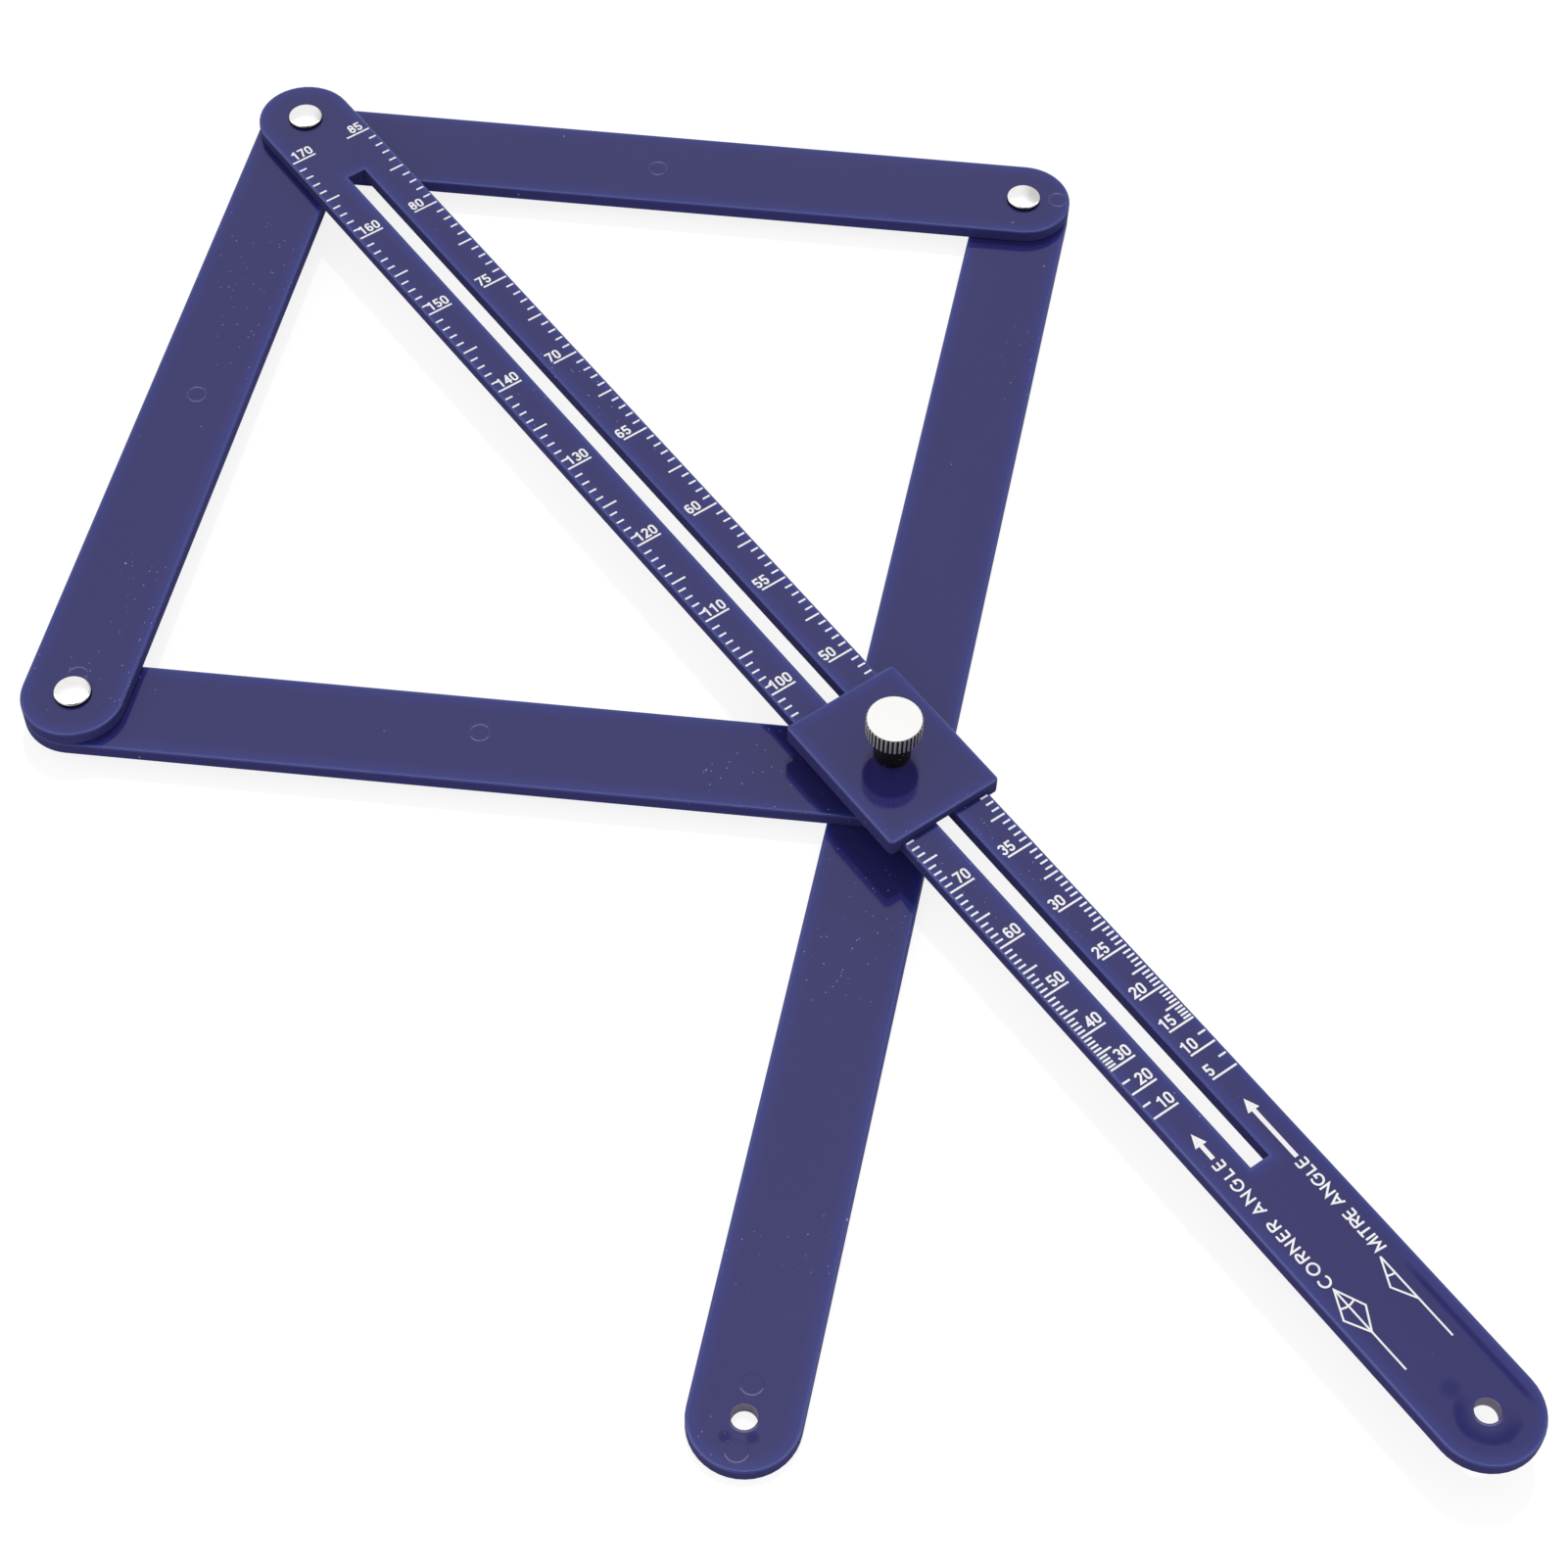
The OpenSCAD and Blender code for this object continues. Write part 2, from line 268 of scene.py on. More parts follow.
def moulded_plastic(name, edge_distance, grain_turn, darkened=None, hole=None):
    """Navy plastic, with a clearer blue band painted along its outline as a painted glow. edge_distance takes a
    point and gives how far it lies inside the piece's outline. A darkening mask, if given, gives 1 where the
    colour is made darker. The wall of a hole is painted paler, a painted light."""
    finish = bpy.data.materials.new(name)
    plastic = blank(finish)
    point = plastic.node("TexCoord", {}, {}, "Object")
    turned = {"Vector": point, "Rotation": (0, 0, grain_turn)}
    along = plastic.node("Mapping", {"vector_type": "TEXTURE"}, turned)
    flow_point = plastic.node("VectorMath", {"operation": "MULTIPLY"}, {0: along, 1: (0.25, 1, 1)})
    flow = plastic.node("TexNoise", {}, {"Vector": flow_point, "Scale": 90, "Detail": 3})
    skin = plastic.node("TexNoise", {}, {"Vector": point, "Scale": 2200, "Detail": 2})
    warp = plastic.node("TexNoise", {}, {"Vector": point, "Scale": 45, "Detail": 1})
    facing_up = plastic.node("TexCoord", {}, {}, "Normal").axis("Z")
    face = facing_up.rise(0.3, 0.8)
    wall = abs(facing_up).rise(0.6, 0.2)
    edge = edge_distance(point)
    edge_glow_band = (edge + flow * edge_waver).rise(*edge_band) * face
    rim_glow_band = edge.rise(*edge_rim) * face
    dust = specks(point)

    colour = (flow * 0.35).mix(face_navy, flow_shade, "MULTIPLY")
    # Painted glow: clearer blue bands along the edges, standing in for light getting into the plastic there.
    colour = (edge_glow_band * 0.8).mix(colour, painted_edge_glow)
    colour = (rim_glow_band * 0.8).mix(colour, painted_rim_glow)
    # The darkening mask paints a dark reflection on the ruler's handle, and two darker spots on the long arm.
    if darkened:
        colour = darkened(point).mix(colour, dark_reflection_and_spot_tint, "MULTIPLY")
    # Painted light: the bore's wall is painted pale, standing in for light that comes through the plastic there.
    if hole:
        colour = (at_bore(point, hole) * wall).mix(colour, bore_painted_light)
    colour = (dust * 0.45).mix(colour, dust_grey)
    roughness = 0.06 + flow * 0.04 + skin * 0.03 + dust * 0.4 + wall * 0.9
    height = edge.rise(0, crown_band) * crown_height + warp * warp_height + skin * skin_height
    normal = plastic.node("Bump", {}, {"Height": height, "Distance": 1, "Strength": 1})
    shell = plastic.node("BsdfPrincipled", {}, {
        "Base Color": colour, "Roughness": roughness, "Normal": normal, "IOR": 1.44})
    plastic.node("OutputMaterial", {}, {"Surface": shell})
    return finish


def bar_edge(start, turn, length, half_width):
    """For a bar with round ends, from start along the direction turn: the distance inside its outline."""

    def distance(point):
        placed = {"Vector": point, "Location": (start.x, start.y, 0), "Rotation": (0, 0, turn)}
        local = point.node("Mapping", {"vector_type": "TEXTURE"}, placed)
        x = local.axis("X")
        past_end = (x - length).most(0 - x, 0)
        return half_width - past_end.hypot(local.axis("Y"))

    return distance


arm_spot_places = [(0.9 * mm, -4.8 * mm), (3.9 * mm, -1.1 * mm)]
arm_spot_fade = (1.6 * mm, 0.6 * mm)


def arm_sunken(point):
    """Two small darker spots beside the long arm's hanging hole."""
    arm_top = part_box("long_arm")[1].z
    spots = []
    for x, y in arm_spot_places:
        middle = (arm_hole.x + x, arm_hole.y + y, arm_top)
        away = point.node("VectorMath", {"operation": "DISTANCE"}, {0: point, 1: middle}, "Value")
        spots.append(away.rise(*arm_spot_fade))
    return spots[0].most(*spots[1:])


def dress(node, finish):
    """Gives a piece from the CAD its finish."""
    frame["nodes"][node].material_slots[0].material = finish


bars = {
    "long_arm": (right_pivot, -half_angle, long_length),
    "short_link": (left_pivot, half_angle, side_length),
    "right_leg": (apex, half_angle, side_length),
    "left_leg": (apex, -half_angle, side_length),
}
bar_marks = {"long_arm": (arm_sunken, mounts["arm_hang_hole"])}
plastics = {}
for bar, (start, turn, length) in bars.items():
    outline = bar_edge(start, turn, length, bar_half_width)
    plastics[bar] = moulded_plastic(bar + "_plastic", outline, turn, *bar_marks.get(bar, ()))
    dress(bar, plastics[bar])

# Ejector marks: faint rings that the mould's ejector pins leave on the bars' upper faces, in the same
# plastic, standing proud by a few hundredths of a millimetre. Most are painted pale in patches, a painted
# highlight for the light the rings catch. Those at the end of the long arm keep the bar's own finish and fall
# off only outwards.
mark_radius = 1.95
even_mark = [(-0.15, -0.02), (-0.15, 0), (0, 0.04), (0.15, 0), (0.15, -0.02)]
stepped_mark = [(-0.03, -0.02), (-0.03, 0), (0, 0.035), (0.28, 0), (0.28, -0.02)]
mark_painted_highlight = (0.055, 0.053, 0.185, 1)

rubbed_plastic = bpy.data.materials.new("rubbed_plastic")
ring_highlight = blank(rubbed_plastic)
ring_point = ring_highlight.node("TexCoord", {}, {}, "Object")
ring_pick = ring_highlight.node("TexNoise", {}, {"Vector": ring_point, "Scale": 1600})
# Painted highlight: pale patches on the rings stand in for the light that they catch.
ring_skin = ring_highlight.node("BsdfPrincipled", {}, {
    "Base Color": ring_pick.rise(0.35, 0.55).mix(face_navy, mark_painted_highlight), "Roughness": 0.12 + ring_pick * 0.1, "IOR": 1.5})
ring_highlight.node("OutputMaterial", {}, {"Surface": ring_skin})


def add_ring(form, centre, radius, section):
    """Adds a low ring to a bmesh. Its radius and section are in millimetres, and the section goes round
    from the inner to the outer side."""
    steps = 64
    loops = []
    for step in range(steps):
        turn = math.tau * step / steps
        out = Vector((math.cos(turn), math.sin(turn), 0))
        loops.append([form.verts.new(centre + (out * (radius + wide) + Vector((0, 0, up))) * mm)
                      for wide, up in section])
    for loop, after in zip(loops, loops[1:] + loops[:1]):
        for i in range(len(section)):
            j = (i + 1) % len(section)
            form.faces.new((loop[i], after[i], after[j], loop[j]))


def add_piece(name, form, finish, body):
    """Makes a piece of a bmesh, which moves with a body."""
    bmesh.ops.recalc_face_normals(form, faces=form.faces)
    mesh = bpy.data.meshes.new(name)
    form.to_mesh(mesh)
    form.free()
    mesh.materials.append(finish)
    piece = bpy.data.objects.new(name, mesh)
    bpy.context.scene.collection.objects.link(piece)
    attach(piece, body)


# Where the pins stood: along and across each bar from its first pivot, in millimetres.
ejector_marks = {
    "left_leg": (even_mark, rubbed_plastic, [(80.6, 0), (155.6, -0.4)]),
    "short_link": (even_mark, rubbed_plastic, [(79.6, 1.7)]),
    "right_leg": (even_mark, rubbed_plastic, [(78.6, 0), (167.6, 0.7)]),
    "long_arm": (stepped_mark, plastics["long_arm"], [(288.2, 0), (300.8, 0)]),
}
for bar, (section, finish, places) in ejector_marks.items():
    start, turn = bars[bar][:2]
    form = bmesh.new()
    for along, across in places:
        place = start.to_2d() + Matrix.Rotation(turn, 2) @ Vector((along * mm, across * mm))
        add_ring(form, Vector((place.x, place.y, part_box(bar)[1].z)), mark_radius, section)
    add_piece(bar + "_ejector_marks", form, finish, bar)

# Ruler: the same navy plastic, with a square-ended slot down its middle and a hanging hole in its handle.
# Its edges and both sides of the slot carry the same painted glow of a clearer band. The handle has sunk a
# little where it cooled last, and is painted darker there as a painted reflection of that sink.
ruler_half_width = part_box("ruler")[1].y
ruler_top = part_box("ruler")[1].z
ruler_hole = Vector(mounts["ruler_hang_hole"]["pos_m"])
# The slot's ends, from the apex rivet along the ruler.
slot_start, slot_end = 21.04 * mm, 321.5 * mm
slot_half_width = 2.15 * mm
# The places where the handle has sunk, painted darker as a painted reflection.
# The spot and the line are measured from the middle of the patch.
patch_middle = (ruler_hole.x + 0.4 * mm, -0.3 * mm)
patch_outer = (6.9 * mm, 6.0 * mm)
patch_inner = (2.2 * mm, 5.0 * mm)
patch_side = (-3.0 * mm, 2.0 * mm)
patch_way = (0.5, -0.87)
patch_ripple = 1.2 * mm
spot_back, spot_aside = 7.1 * mm, 2.1 * mm
spot_fade = (2.6 * mm, 0.8 * mm)
spot_strength = 0.6
reflection_line_y = 7.8 * mm
reflection_line_fade = (0.9 * mm, 0.2 * mm)
reflection_line_start = (-31 * mm, -24 * mm)
reflection_line_end = (4 * mm, 0)


def ruler_edge(point):
    """The distance inside the ruler's outline or from its slot, whichever is less."""
    outer = bar_edge(apex, 0, ruler_hole.x - apex.x, ruler_half_width)(point)
    slot_middle = apex.x + (slot_start + slot_end) / 2
    past_x = (abs(point.axis("X") - slot_middle) - (slot_end - slot_start) / 2).most(0)
    past_y = (abs(point.axis("Y")) - slot_half_width).most(0)
    return outer.math("MINIMUM", past_x.hypot(past_y))


def ruler_sunken(point):
    """Where the handle is painted darker as a painted reflection of its sink: 1 in a patch beside the hanging
    hole and on a line along the +Y edge, and less on a spot.
    """
    x = point.axis("X") - patch_middle[0]
    y = point.axis("Y") - patch_middle[1]
    radius = x.hypot(y)
    ripple = point.node("TexNoise", {}, {"Vector": point, "Scale": 300, "Detail": 2}) * patch_ripple
    ring = (radius + ripple).rise(*patch_outer) * radius.rise(*patch_inner)
    patch = ring * (x * patch_way[0] + y * patch_way[1]).rise(*patch_side)
    spot = (x + spot_back).hypot(y + spot_aside).rise(*spot_fade) * spot_strength
    line_ends = x.rise(*reflection_line_start) * x.rise(*reflection_line_end)
    return patch.most(spot, abs(y - reflection_line_y).rise(*reflection_line_fade) * line_ends)


plastics["ruler"] = moulded_plastic(
    "ruler_plastic", ruler_edge, 0, ruler_sunken, mounts["ruler_hang_hole"])
dress("ruler", plastics["ruler"])

# Hole rims: the mould leaves a low lip round both hanging holes, in the plastic of the bar. It falls off
# gently outwards and is rounded into the hole.
rim_section = [
    (0, -0.03), (0, 0.01), (0.04, 0.02), (0.1, 0.026), (0.16, 0.024), (0.45, 0.001), (0.45, -0.03)]
for bar, hole in (("ruler", "ruler_hang_hole"), ("long_arm", "arm_hang_hole")):
    form = bmesh.new()
    centre = Vector(mounts[hole]["pos_m"])
    centre.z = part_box(bar)[1].z
    add_ring(form, centre, mounts[hole]["dims"]["r_mm"], rim_section)
    add_piece(hole + "_rim", form, plastics[bar], bar)

# Printed scales: white ink screen printed on the ruler, a row of ticks and numbers down each side of the
# slot. The +Y side reads half of the corner angle and the -Y side the whole of it, at the slider's upper
# edge.
ink_low = ruler_top - 0.01 * mm
ink_high = ruler_top + 0.03 * mm
ink_layer = 0.004 * mm
ink_white = (0.86, 0.86, 0.88, 1)
ink_worn = (0.62, 0.62, 0.72, 1)
ink_grain_depth = 0.002 * mm
reading_offset = 17.2 * mm
tick_outer_end = 9.75 * mm
tick_width = 0.42 * mm
short_tick, middle_tick, long_tick = 1.7 * mm, 3.25 * mm, 5.7 * mm
digit_width = 1.42 * mm
digit_height = 2.5 * mm
digit_pitch = 1.66 * mm
digit_stroke = 0.42 * mm
number_gap = 0.4 * mm
usual_inset = -0.5 * mm
other_insets = {85: 1.65 * mm, 80: 0, 5: 0}

scale_ink = bpy.data.materials.new("scale_ink")
ink = blank(scale_ink)
ink_point = ink.node("TexCoord", {}, {}, "Object")
ink_mesh = ink.node("TexNoise", {}, {"Vector": ink_point, "Scale": 3500, "Detail": 2})
ink_wear = ink.node("TexNoise", {}, {"Vector": ink_point, "Scale": 220, "Detail": 3})
ink_colour = (ink_wear.rise(0.55, 0.9) * 0.6).mix(ink_white, ink_worn)
ink_normal = ink.node("Bump", {}, {"Height": ink_mesh * ink_grain_depth, "Distance": 1, "Strength": 1})
ink_film = ink.node("BsdfPrincipled", {}, {
    "Base Color": ink_colour, "Roughness": 0.42 + ink_mesh * 0.12, "Normal": ink_normal})
ink.node("OutputMaterial", {}, {"Surface": ink_film})


def add_stroke(form, points, width, closed=False, layer=0):
    """Adds a flat inked line of one width along points on the ruler, mitred at its corners.
    Strokes that cross are printed in layers, each a little higher than the one before."""
    count = len(points)
    least_mitre = 0.3
    top = ink_high + layer * ink_layer
    sides = []
    for i, here in enumerate(points):
        before = points[i - 1] if closed or i else None
        after = points[(i + 1) % count] if closed or i < count - 1 else None
        come = (here - before).normalized() if before is not None else None
        go = (after - here).normalized() if after is not None else come
        come = come or go
        across = Vector((-(come.y + go.y), come.x + go.x)).normalized()
        reach = width / 2 / max(least_mitre, across.dot(Vector((-go.y, go.x))))
        sides.append([here + across * reach, here - across * reach])
    rings = []
    for left, right in sides:
        corners = [(left, top), (right, top), (right, ink_low), (left, ink_low)]
        rings.append([form.verts.new((corner.x, corner.y, z)) for corner, z in corners])
    for ring, after in zip(rings, rings[1:] + rings[:1] if closed else rings[1:]):
        for i in range(4):
            form.faces.new((ring[i], ring[(i + 1) % 4], after[(i + 1) % 4], after[i]))
    if not closed:
        form.faces.new(rings[0])
        form.faces.new(reversed(rings[-1]))


def print_piece(name, form):
    """Makes an inked piece of a bmesh, fixed to the ruler."""
    add_piece(name, form, scale_ink, "ruler")


def bow(centre, radii, first, last):
    """Points along part of an ellipse, from the angle first to the angle last in degrees."""
    step_turn = 18
    steps = max(3, round(abs(last - first) / step_turn))
    turns = [math.radians(first + (last - first) * i / steps) for i in range(steps + 1)]
    return [Vector((centre[0] + radii[0] * math.cos(a), centre[1] + radii[1] * math.sin(a))) for a in turns]


def line(*points):
    """Straight stretches from point to point."""
    return [Vector(point) for point in points]


def digit_strokes():
    """The strokes of each numeral, as (points, closed), in a narrow bold hand: +X to the right and +Y up."""
    w, h, edge = digit_width, digit_height, digit_stroke / 2
    left, right, low, high = edge, w - edge, edge, h - edge
    middle, half_w = w / 2, w / 2 - edge
    top_r, low_r, waist = 0.52 * mm, 0.60 * mm, 1.36 * mm
    low_bowl = (middle, low + low_r)
    top_bowl = (middle, high - top_r)
    round_bowl = bow(low_bowl, (half_w, low_r), 0, 342)
    stem_x = middle + 0.12 * mm
    four_x = right - 0.16 * mm
    six = [(round_bowl, True),
           (line((left, low_bowl[1])) + bow(top_bowl, (half_w, top_r), 180, 25), False)]
    return {
        "0": [(bow(top_bowl, (half_w, top_r), 0, 180)
               + bow((middle, low + top_r), (half_w, top_r), 180, 360), True)],
        "1": [(line((stem_x, 0), (stem_x, h)), False),
              (line((left - 0.1 * mm, h - 0.72 * mm), (stem_x, h - 0.3 * mm)), False)],
        "2": [(bow(top_bowl, (half_w, top_r), 180, -35) + line((left, low), (w, low)), False)],
        "3": [(bow((middle, high - low_r + 0.08 * mm), (half_w, low_r - 0.08 * mm), 165, -90), False),
              (bow(low_bowl, (half_w, low_r), 90, -165), False)],
        "4": [(line((four_x, high), (left, 0.72 * mm), (w + 0.05 * mm, 0.72 * mm)), False),
              (line((four_x, 0), (four_x, h)), False)],
        "5": [(line((w - 0.08 * mm, high), (left + 0.06 * mm, high), (left, waist - 0.22 * mm)), False),
              (bow(low_bowl, (half_w, low_r), 140, -165), False)],
        "6": six,
        "7": [(line((0, high), (right, high), (middle - 0.22 * mm, 0)), False)],
        "8": [(round_bowl, True), (bow(top_bowl, (half_w - 0.05 * mm, top_r), 0, 342), True)],
        "9": [([Vector((w - p.x, h - p.y)) for p in points], closed) for points, closed in six],
    }


numerals = digit_strokes()


def add_number(form, number, baseline, start):
    """Adds a number that reads along +Y from start, with its feet at baseline and its head to the apex."""
    for place, digit in enumerate(str(number)):
        for layer, (points, closed) in enumerate(numerals[digit]):
            laid = [Vector((baseline - p.y, start + place * digit_pitch + p.x)) for p in points]
            add_stroke(form, laid, digit_stroke, closed, layer)


def tick_x(half_turn):
    """Where the reading edge stands when each leg makes this angle with the ruler.
    Below 10 degrees the marks are spaced evenly."""
    if half_turn < 10:
        return tick_x(10) + (tick_x(10) - tick_x(15)) * (10 - half_turn) / 5
    return apex.x + 2 * side_length * math.cos(math.radians(half_turn)) - reading_offset


fine_marks = [(mark / 2, long_tick if mark % 10 == 0 else middle_tick if mark % 5 == 0 else short_tick)
              for mark in range(30, 171)]
coarse_marks = [(12.5, short_tick), (10, long_tick), (7.5, short_tick), (5, long_tick)]
for scale, side, shown in (("half_angle", 1, 1), ("whole_angle", -1, 2)):
    ticks = bmesh.new()
    numbers = bmesh.new()
    for half_turn, length in fine_marks + coarse_marks:
        x = tick_x(half_turn)
        inner_end = tick_outer_end - length
        add_stroke(ticks, line((x, side * tick_outer_end), (x, side * inner_end)), tick_width)
        if length == long_tick:
            number = round(half_turn * shown)
            width = (len(str(number)) - 1) * digit_pitch + digit_width
            start = inner_end + other_insets.get(number, usual_inset) if side > 0 else -inner_end - width
            add_number(numbers, number, x - tick_width / 2 - number_gap, start)
    print_piece(scale + "_ticks", ticks)
    print_piece(scale + "_numbers", numbers)

# Printed labels: beside the end of the slot each scale has an arrow that points to it, two plain words
# and a small sign of the angle that it reads, all in the same white ink.
# Places along the ruler are measured from the apex rivet, and those in a sign from its start.
arrow_tip = 310.2 * mm
arrow_head = 2.8 * mm
arrow_half_width = 1.3 * mm
shaft_width = 0.9 * mm
letter_height = 2.55 * mm
letter_stroke = 0.4 * mm
label_start = 347.1 * mm
sign_start = 347.9 * mm
sign_line = 0.36 * mm
sign_side = (5.4 * mm, 2.55 * mm)
sign_back = 9.8 * mm
sign_end = 18.4 * mm
sign_arc = 3.8 * mm


def add_arrow(form, shaft_end, y):
    """Adds a solid arrow along -X with its tip at arrow_tip."""
    neck = arrow_tip + arrow_head
    half_shaft = shaft_width / 2
    outline = [(arrow_tip, 0), (neck, arrow_half_width), (neck, half_shaft), (shaft_end, half_shaft),
               (shaft_end, -half_shaft), (neck, -half_shaft), (neck, -arrow_half_width)]
    low, high = [[form.verts.new((apex.x + x, y + up, z)) for x, up in outline] for z in (ink_low, ink_high)]
    form.faces.new(low)
    form.faces.new(high)
    for i in range(len(outline)):
        form.faces.new((low[i - 1], low[i], high[i], high[i - 1]))


def letter_strokes():
    """The width of each letter that the labels use, and its strokes as (points, closed), as for numerals."""
    h = letter_height - letter_stroke
    half, waist = h / 2, 0.56 * h
    bowl = h - waist
    round_r = 1.02 * half
    stem = (line((0, 0), (0, h)), False)
    arms = [(line((1.25 * mm, y), (0, y)), False) for y in (0, half, h)]
    head = bow((0.75 * mm, (h + waist) / 2), (bowl * 0.95, bowl / 2), 90, -90)
    r_loop = line((0, h)) + head + line((0, waist))
    ring = bow((round_r, half), (round_r, half), 0, 345)
    gap = bow((round_r, half), (round_r, half), 48, 312)
    return {
        "A": (1.95 * mm, [(line((0, 0), (0.975 * mm, h), (1.95 * mm, 0)), False),
                          (line((0.36 * mm, 0.3 * h), (1.59 * mm, 0.3 * h)), False)]),
        "C": (1.75 * round_r, [(gap, False)]),
        "E": (1.25 * mm, [stem] + arms),
        "G": (2 * round_r, [(gap + line((2 * round_r - 0.2 * mm, half), (1.15 * round_r, half)), False)]),
        "I": (0, [stem]),
        "L": (1.15 * mm, [(line((0, h), (0, 0), (1.15 * mm, 0)), False)]),
        "M": (2.2 * mm, [(line((0, 0), (0.2 * mm, h), (1.1 * mm, 0.2 * h), (2.0 * mm, h), (2.2 * mm, 0)),
                          False)]),
        "N": (1.75 * mm, [(line((0, 0), (0, h), (1.75 * mm, 0), (1.75 * mm, h)), False)]),
        "O": (2 * round_r, [(ring, True)]),
        "R": (1.4 * mm, [stem, (r_loop, False), (line((0.6 * mm, waist), (1.4 * mm, 0)), False)]),
        "T": (1.6 * mm, [(line((0, h), (1.6 * mm, h)), False),
                         (line((0.8 * mm, 0), (0.8 * mm, h)), False)]),
        " ": (0.35 * mm, []),
    }


letters = letter_strokes()


def add_words(form, words, start, baseline, width):
    """Adds words that read along -X from start, with their heads towards -Y, spaced out to a width."""
    spare = width - letter_stroke - sum(letters[letter][0] for letter in words)
    letter_gap = spare / (len(words) - 1)
    foot = baseline - letter_stroke / 2
    pen = apex.x + start - letter_stroke / 2
    for letter in words:
        letter_width, strokes = letters[letter]
        for layer, (points, closed) in enumerate(strokes):
            laid = [Vector((pen - p.x, foot - p.y)) for p in points]
            add_stroke(form, laid, letter_stroke, closed, layer)
        pen -= letter_width + letter_gap


def add_sign(form, y, sides):
    """Adds the sign of an angle: the bisector, the legs on the given sides of it and an arc between them."""
    start = apex.x + sign_start
    add_stroke(form, line((start, y), (start + sign_end, y)), sign_line)
    tilt = math.degrees(math.atan2(sign_side[1], sign_side[0]))
    corners = [Vector((start + sign_side[0], y + side * sign_side[1])) for side in sides]
    back = Vector((start + sign_back, y))
    front = Vector((start, y))
    if len(sides) == 2:
        add_stroke(form, [front, corners[0], back, corners[1]], sign_line, True, 1)
        turns = [side * tilt for side in sides]
    else:
        add_stroke(form, [front, corners[0], back], sign_line, False, 1)
        turns = [0, sides[0] * tilt]
    add_stroke(form, bow(front, (sign_arc, sign_arc), *turns), sign_line, False, 2)


labels = {
    "half_angle": dict(words="MITRE ANGLE", width=21.9 * mm, baseline=7.25 * mm, y=6.0 * mm,
                       shaft_end=324.6 * mm, sign_y=4.75 * mm, sides=(-1,)),
    "whole_angle": dict(words="CORNER ANGLE", width=30.1 * mm, baseline=-5.1 * mm, y=-6.4 * mm,
                        shaft_end=316.3 * mm, sign_y=-6.1 * mm, sides=(-1, 1)),
}
for scale, label in labels.items():
    form = bmesh.new()
    add_arrow(form, label["shaft_end"], label["y"])
    print_piece(scale + "_arrow", form)
    form = bmesh.new()
    add_words(form, label["words"], label_start, label["baseline"], label["width"])
    print_piece(scale + "_words", form)
    form = bmesh.new()
    add_sign(form, label["sign_y"], label["sides"])
    print_piece(scale + "_sign", form)

# Rivets: two-part compression rivets in polished nickel, one at each pivot. The domed half is pressed from
# above into the tube half, and the bars turn on the tube. The sides of the heads are rougher, and painted dark
# as a painted shade and dark reflection.
rivet_bright = (0.97, 0.965, 0.95, 1)
rivet_hazy = (0.92, 0.91, 0.89, 1)
rivet_painted_shade = (0.03, 0.028, 0.035, 1)
rivet_ring_depth = 0.0003 * mm


def turned_rings(radius):
    """The fine rings that a tool leaves round the axis of a turned or polished face."""
    return radius.node("TexNoise", {"noise_dimensions": "1D"}, {"W": radius, "Scale": 9000, "Detail": 2})


def rivet_nickel(name, centre):
    """Bright nickel over pressed metal, with fine rings round a centre, and the heads' sides painted dark as a
    painted shade.
    """
    finish = bpy.data.materials.new(name)
    nickel = blank(finish)
    point = nickel.node("TexCoord", {}, {}, "Object")
    rings = turned_rings((point.axis("X") - centre.x).hypot(point.axis("Y") - centre.y))
    smear = nickel.node("TexNoise", {}, {"Vector": point, "Scale": 400, "Detail": 2})
    # Painted shade: the steep sides of the heads are darkened, for the shade and dark reflection on them.
    dull_and_shaded = abs(nickel.node("TexCoord", {}, {}, "Normal").axis("Z")).rise(0.7, 0.45)
    tint = dull_and_shaded.mix(smear.rise(0.35, 0.8).mix(rivet_bright, rivet_hazy), rivet_painted_shade)
    normal = nickel.node("Bump", {}, {"Height": rings * rivet_ring_depth, "Distance": 1, "Strength": 1})
    plate = nickel.node("BsdfPrincipled", {}, {
        "Base Color": tint, "Metallic": 1, "Roughness": 0.16 + smear * 0.06 + dull_and_shaded * 0.3, "Normal": normal})
    nickel.node("OutputMaterial", {}, {"Surface": plate})
    return finish


for rivet, place in (("apex", apex), ("right", right_pivot), ("left", left_pivot)):
    finish = rivet_nickel(rivet + "_rivet_nickel", place)
    for half in ("post", "tube"):
        dress("%s_rivet_%s" % (rivet, half), finish)

# Nut and bush: plain zinc-plated steel. The nut sits in a pocket under the long arm and takes the thumb
# screw, and the bush keeps the short link one bar below the ruler.
zinc_dark = (0.50, 0.51, 0.53, 1)
zinc_light = (0.62, 0.62, 0.62, 1)
zinc_grain_depth = 0.002 * mm
zinc_steel = bpy.data.materials.new("zinc_steel")
zinc = blank(zinc_steel)
zinc_point = zinc.node("TexCoord", {}, {}, "Object")
zinc_spangle = zinc.node("TexVoronoi", {}, {"Vector": zinc_point, "Scale": 900}, "Color")
zinc_tone = zinc.node("RGBToBW", {}, {"Color": zinc_spangle})
zinc_grain = zinc.node("TexNoise", {}, {"Vector": zinc_point, "Scale": 2600, "Detail": 3})
zinc_normal = zinc.node("Bump", {}, {"Height": zinc_grain * zinc_grain_depth, "Distance": 1, "Strength": 1})
zinc_plate = zinc.node("BsdfPrincipled", {}, {
    "Base Color": zinc_tone.mix(zinc_dark, zinc_light), "Metallic": 1,
    "Roughness": 0.32 + zinc_grain * 0.15, "Normal": zinc_normal})
zinc.node("OutputMaterial", {}, {"Surface": zinc_plate})
for plain in ("clamp_nut", "spacer_bush"):
    dress(plain, zinc_steel)

# Slider: a channel moulded in the same navy plastic, which straddles the ruler and slides along it.
# Its upper edge is the line that the scales are read at.
slider_low, slider_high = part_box("slider")


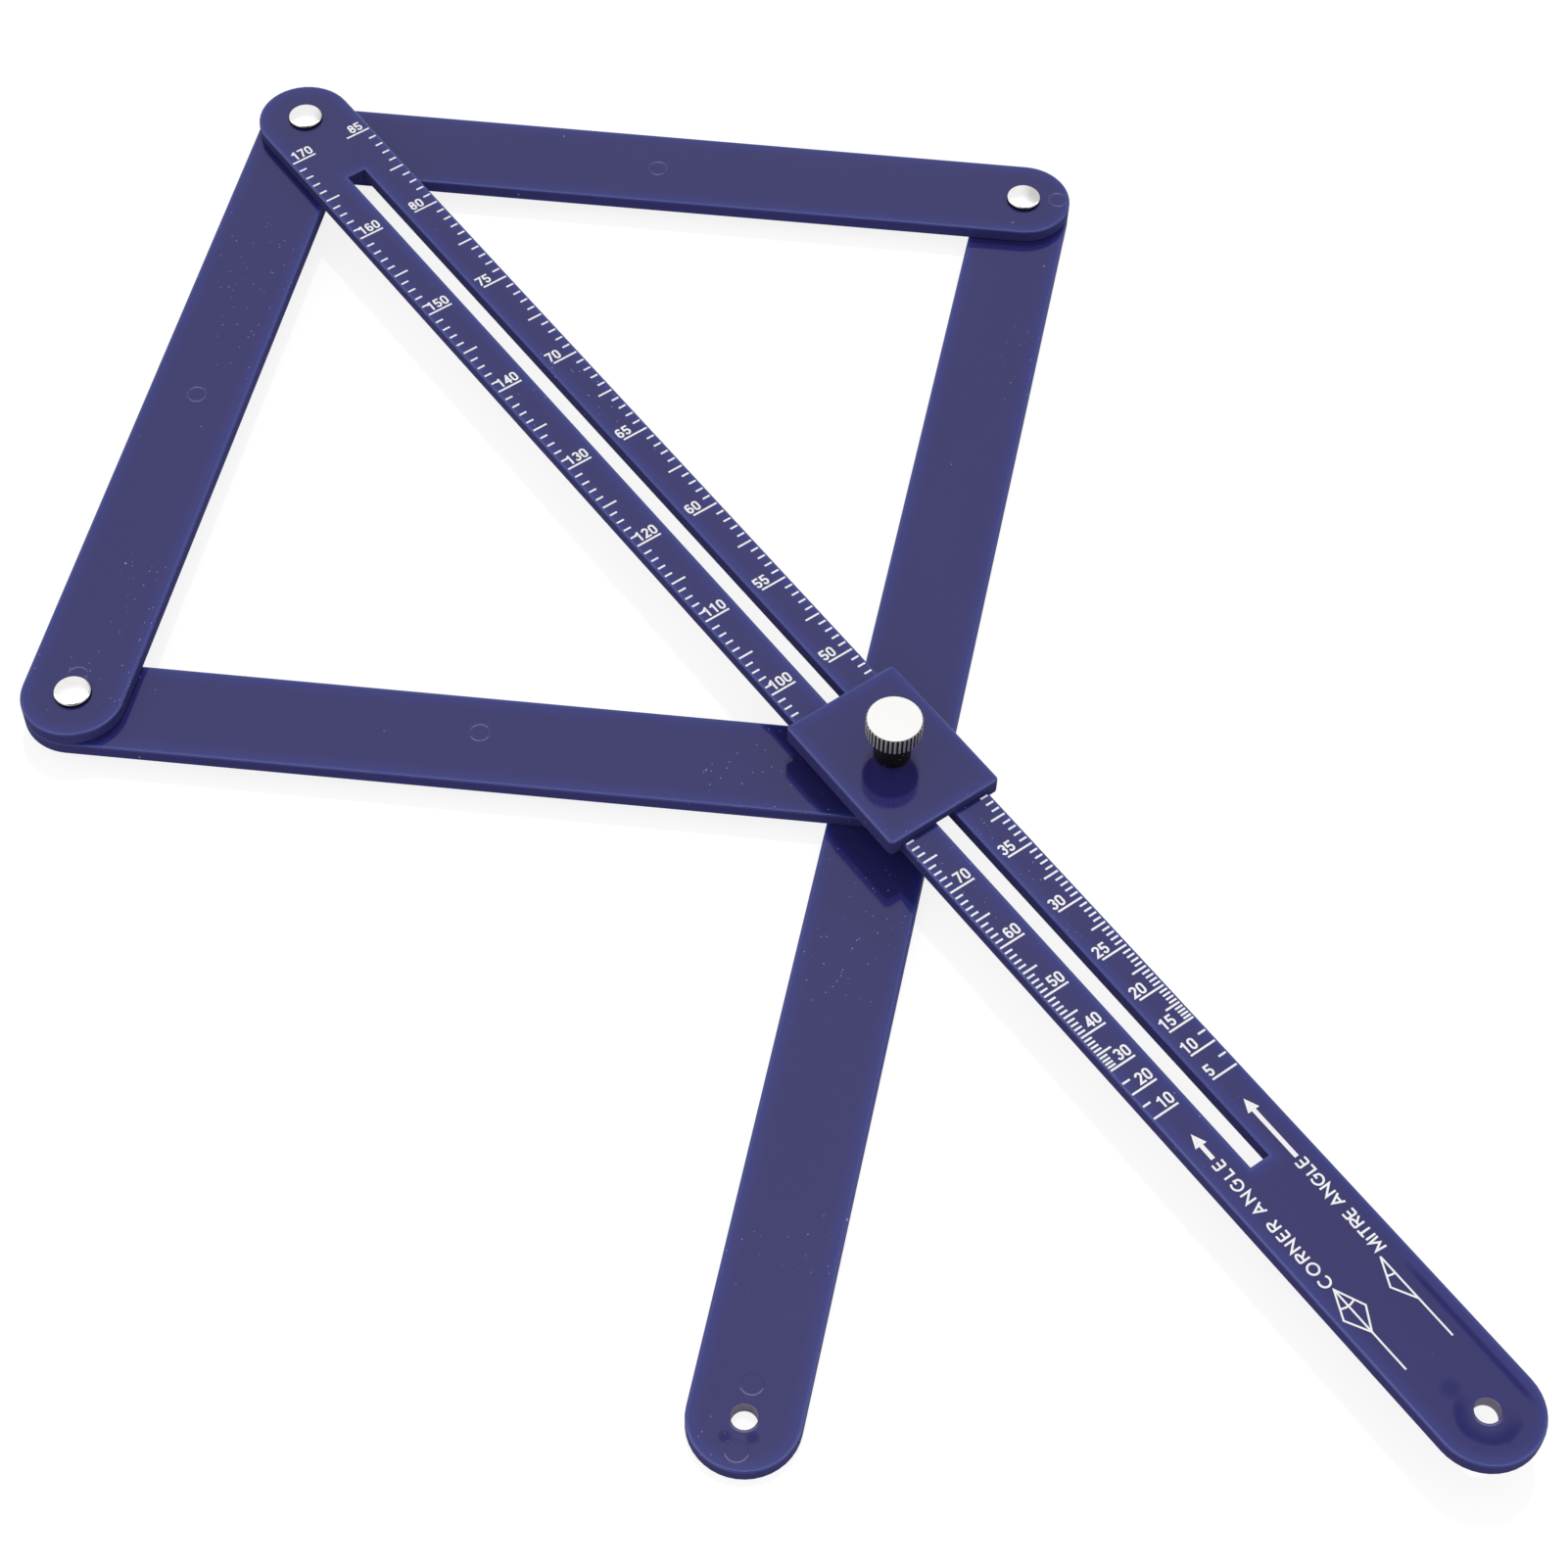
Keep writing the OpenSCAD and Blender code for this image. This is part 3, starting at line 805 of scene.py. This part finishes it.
def slider_edge(point):
    """The distance inside the slider's rectangle."""
    middle = (slider_low + slider_high) / 2
    half = (slider_high - slider_low) / 2
    inside_x = half.x - abs(point.axis("X") - middle.x)
    inside_y = half.y - abs(point.axis("Y") - middle.y)
    return inside_x.math("MINIMUM", inside_y)


dress("slider", moulded_plastic("slider_plastic", slider_edge, 0))

# Thumb screw: turned from bar, with a straight-knurled head over a plain collar, and nickel plated. The top
# is faced bright. The collar and the knurl's grooves are painted dark, a painted shade and dark reflection,
# and its ridges and some specks keep the bright nickel as painted highlights and glints.
slide_pivot = pivot["slider_pivot"]
screw_low, screw_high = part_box("thumb_screw")
knob_radius = (screw_high.x - screw_low.x) / 2
ridge_start, ridge_end = 0.14 * mm, 0.04 * mm
screw_painted_shade = (0.034, 0.031, 0.033, 1)
screw_bright = (0.93, 0.925, 0.91, 1)
screw_ring_depth = 0.0009 * mm

screw_nickel = bpy.data.materials.new("screw_nickel")
screw = blank(screw_nickel)
screw_point = screw.node("TexCoord", {}, {}, "Object")
screw_radius = (screw_point.axis("X") - slide_pivot.x).hypot(screw_point.axis("Y") - slide_pivot.y)
screw_smear = screw.node("TexNoise", {}, {"Vector": screw_point, "Scale": 700, "Detail": 3})
screw_glint = screw.node("TexVoronoi", {}, {"Vector": screw_point, "Scale": 1500}).rise(0.16, 0.08)
faced = screw.node("TexCoord", {}, {}, "Normal").axis("Z").rise(0.6, 0.9)
ridge_highlight = screw_radius.rise(knob_radius - ridge_start, knob_radius - ridge_end) * 0.55
# Painted light: the dark nickel stands in for shade and dark reflection, and the bright ridges and specks for
# highlights and glints.
bright_and_glints = faced.most(ridge_highlight, screw_smear.rise(0.52, 0.57) * screw_glint)
screw_grooves = turned_rings(screw_radius) * screw_ring_depth
screw_normal = screw.node("Bump", {}, {"Height": screw_grooves, "Distance": 1, "Strength": 1})
screw_plate = screw.node("BsdfPrincipled", {}, {
    "Base Color": bright_and_glints.mix(screw_painted_shade, screw_bright), "Metallic": 1,
    "Roughness": 0.5 + screw_smear * 0.08 - faced * 0.36, "Normal": screw_normal})
screw.node("OutputMaterial", {}, {"Surface": screw_plate})
dress("thumb_screw", screw_nickel)
